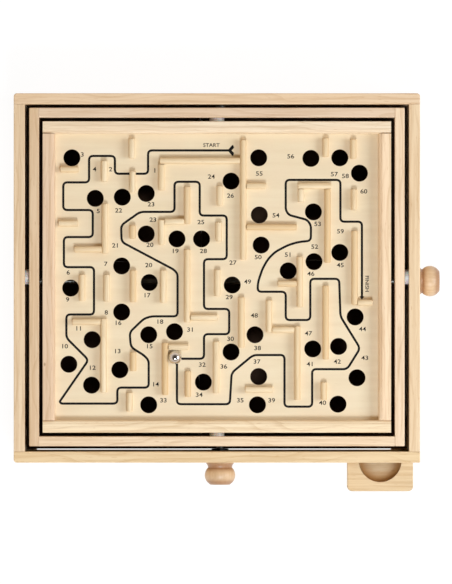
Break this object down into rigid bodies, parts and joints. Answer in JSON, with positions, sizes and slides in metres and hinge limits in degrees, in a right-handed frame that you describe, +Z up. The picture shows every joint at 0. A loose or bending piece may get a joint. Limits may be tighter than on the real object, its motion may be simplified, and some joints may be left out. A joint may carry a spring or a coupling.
{
  "type": "tilt maze game",
  "caption": "Wooden box with a gimballed maze board, two knobs that tip it through cords, a steel ball, and a sloped floor that returns the ball to a front tray.",
  "frame": {"origin": "middle of the whole object's footprint, on the table", "axes": "+X to the player's right, +Y away from the player, +Z up"},
  "size_m": [0.3468, 0.325, 0.085],
  "materials": {
    "box_wood": "sanded pine, clear matt oil",
    "floor_hardboard": "smooth brown hardboard",
    "frame_wood": "sanded pine",
    "rim_wood": "sanded pine",
    "panel_ply": "sanded birch-faced plywood, printed",
    "strip_wood": "sanded pine",
    "knob_wood": "turned beech, satin varnish",
    "zinc_steel": "bright drawn steel",
    "blackened_steel": "blackened",
    "nylon": "natural nylon",
    "cord": "thin braided line",
    "ball_steel": "polished bearing ball"
  },
  "bodies": {
    "box": {"front_wall": "box_wood", "back_wall": "box_wood", "left_wall": "box_wood", "right_wall": "box_wood", "box_brads": "zinc_steel", "floor_panel": "floor_hardboard", "floor_batten_left": "box_wood", "floor_batten_right": "box_wood", "floor_batten_back": "box_wood", "ball_tray": "box_wood", "frame_pivot_pins": "zinc_steel", "frame_pivot_washers": "nylon", "frame_cord_front": "cord", "frame_cord_back": "cord"},
    "tilt_frame": {"frame_rail_left": "frame_wood", "frame_rail_right": "frame_wood", "frame_rail_front": "frame_wood", "frame_rail_back": "frame_wood", "frame_brads": "zinc_steel", "board_pivot_pins": "zinc_steel", "board_pivot_washers": "nylon", "frame_cord_eyes": "zinc_steel", "frame_cord_spring": "zinc_steel", "board_cord_left": "cord", "board_cord_right": "cord"},
    "maze_board": {"maze_panel": "panel_ply", "board_rim_front": "rim_wood", "board_rim_back": "rim_wood", "board_rim_left": "rim_wood", "board_rim_right": "rim_wood", "board_cord_eyes": "zinc_steel", "board_cord_spring": "zinc_steel", "barriers_back_centre": "strip_wood", "barriers_back_left": "strip_wood", "barriers_back_right": "strip_wood", "barriers_front_centre": "strip_wood", "barriers_front_left": "strip_wood", "barriers_front_right": "strip_wood", "barriers_middle_centre": "strip_wood", "barriers_middle_left": "strip_wood", "barriers_middle_right": "strip_wood"},
    "right_control": {"right_knob": "knob_wood", "right_shaft": "zinc_steel", "right_shaft_washer": "blackened_steel", "right_shaft_clip": "zinc_steel", "frame_cord_turns": "cord"},
    "front_control": {"front_knob": "knob_wood", "front_shaft": "zinc_steel", "front_shaft_washer": "blackened_steel", "front_shaft_clip": "zinc_steel", "board_cord_turns": "cord"},
    "ball": {"steel_ball": "ball_steel"}
  },
  "joints": [
    {"name": "frame_tilt", "type": "hinge", "parent": "box", "child": "tilt_frame", "pos_m": [-0.00845, 0.0133, 0.07], "axis": [1, 0, 0], "range_deg": [-5, 5], "deforming": ["frame_cord_front", "frame_cord_back"]},
    {"name": "board_tilt", "type": "hinge", "parent": "tilt_frame", "child": "maze_board", "pos_m": [-0.00845, 0.0133, 0.07], "axis": [0, 1, 0], "range_deg": [-5, 5], "deforming": ["board_cord_left", "board_cord_right"]},
    {"name": "right_knob_turn", "type": "hinge", "parent": "box", "child": "right_control", "pos_m": [0.15655, 0.01, 0.041], "axis": [1, 0, 0], "range_deg": [-46, 46]},
    {"name": "front_knob_turn", "type": "hinge", "parent": "box", "child": "front_control", "pos_m": [-0.00595, -0.1375, 0.033], "axis": [0, 1, 0], "range_deg": [-60, 60]},
    {"name": "ball_lift", "type": "slide", "parent": "maze_board", "child": "ball", "axis": [0, 0, 1], "range_m": [0, 0.04]}
  ],
  "couplings": [
    {"joint": "right_knob_turn", "follows": "frame_tilt", "ratio": -8.98},
    {"joint": "front_knob_turn", "follows": "board_tilt", "ratio": -11.63}
  ]
}
